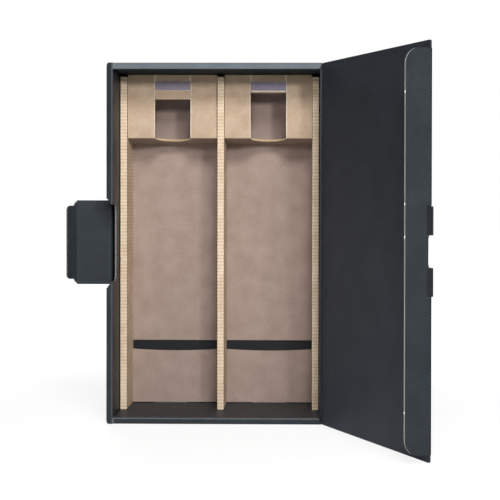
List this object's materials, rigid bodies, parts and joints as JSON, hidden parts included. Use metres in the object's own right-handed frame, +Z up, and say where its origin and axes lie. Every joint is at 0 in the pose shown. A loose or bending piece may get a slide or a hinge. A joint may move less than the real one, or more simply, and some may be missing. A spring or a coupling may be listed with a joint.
{
  "type": "bottle gift box",
  "caption": "Upright folded board gift box for bottles, with a hinged lid, tuck flap, lock flap and a board insert with bays and neck shelves.",
  "frame": {"origin": "centre of the outer bottom face", "axes": "+Z up, +X towards the lid's hinge, open side towards -Y, back panel towards +Y"},
  "size_m": [0.3193, 0.2733, 0.327],
  "materials": {
    "black_board": "matt black paper",
    "kraft_board": "plain kraft paper"
  },
  "bodies": {
    "box": {"back_panel": "black_board", "left_wall": "black_board", "top_wall": "black_board", "bottom_wall": "black_board", "right_wall": "black_board", "top_left_dust_flap": "black_board", "bottom_left_dust_flap": "black_board", "top_right_dust_flap": "black_board", "bottom_right_dust_flap": "black_board", "left_floor": "kraft_board", "right_floor": "kraft_board", "left_rail": "kraft_board", "centre_rail": "kraft_board", "right_rail": "kraft_board", "left_shelf": "kraft_board", "right_shelf": "kraft_board", "left_shelf_front": "kraft_board", "right_shelf_front": "kraft_board"},
    "lid": {"lid_panel": "black_board"},
    "tuck": {"tuck_flap": "black_board"},
    "lock": {"lock_flap": "black_board"},
    "lip": {"lock_lip": "black_board"},
    "left_upper": {"left_upper_strip": "kraft_board"},
    "left_lower": {"left_lower_strip": "kraft_board"},
    "right_upper": {"right_upper_strip": "kraft_board"},
    "right_lower": {"right_lower_strip": "kraft_board"}
  },
  "joints": [
    {"name": "lid_hinge", "type": "hinge", "parent": "box", "child": "lid", "pos_m": [0.0975, -0.0475, 0.1635], "axis": [0, 0, 1], "range_deg": [-115.6, 60]},
    {"name": "tuck_hinge", "type": "hinge", "parent": "lid", "child": "tuck", "pos_m": [0.17797, -0.21475, 0.1635], "axis": [0, 0, -1], "range_deg": [-90, 30]},
    {"name": "lock_hinge", "type": "hinge", "parent": "box", "child": "lock", "pos_m": [-0.0975, -0.013, 0.1635], "axis": [0, 0, 1], "range_deg": [-45, 90]},
    {"name": "lip_hinge", "type": "hinge", "parent": "lock", "child": "lip", "pos_m": [-0.1305, -0.0145, 0.1635], "axis": [0, 0, 1], "range_deg": [-22.5, 45]},
    {"name": "left_upper_hinge", "type": "hinge", "parent": "box", "child": "left_upper", "pos_m": [-0.04265, 0.0055, 0.3147], "axis": [1, 0, 0], "range_deg": [-3, 66]},
    {"name": "left_lower_hinge", "type": "hinge", "parent": "left_upper", "child": "left_lower", "pos_m": [-0.04265, 0.00461, 0.30624], "axis": [1, 0, 0], "range_deg": [-6, 84]},
    {"name": "right_upper_hinge", "type": "hinge", "parent": "box", "child": "right_upper", "pos_m": [0.04765, 0.0055, 0.3147], "axis": [1, 0, 0], "range_deg": [-4, 56]},
    {"name": "right_lower_hinge", "type": "hinge", "parent": "right_upper", "child": "right_lower", "pos_m": [0.04765, 0.00609, 0.30622], "axis": [1, 0, 0], "range_deg": [-82, 8]}
  ],
  "couplings": [
    {"joint": "lip_hinge", "follows": "lock_hinge", "ratio": 0.5}
  ]
}
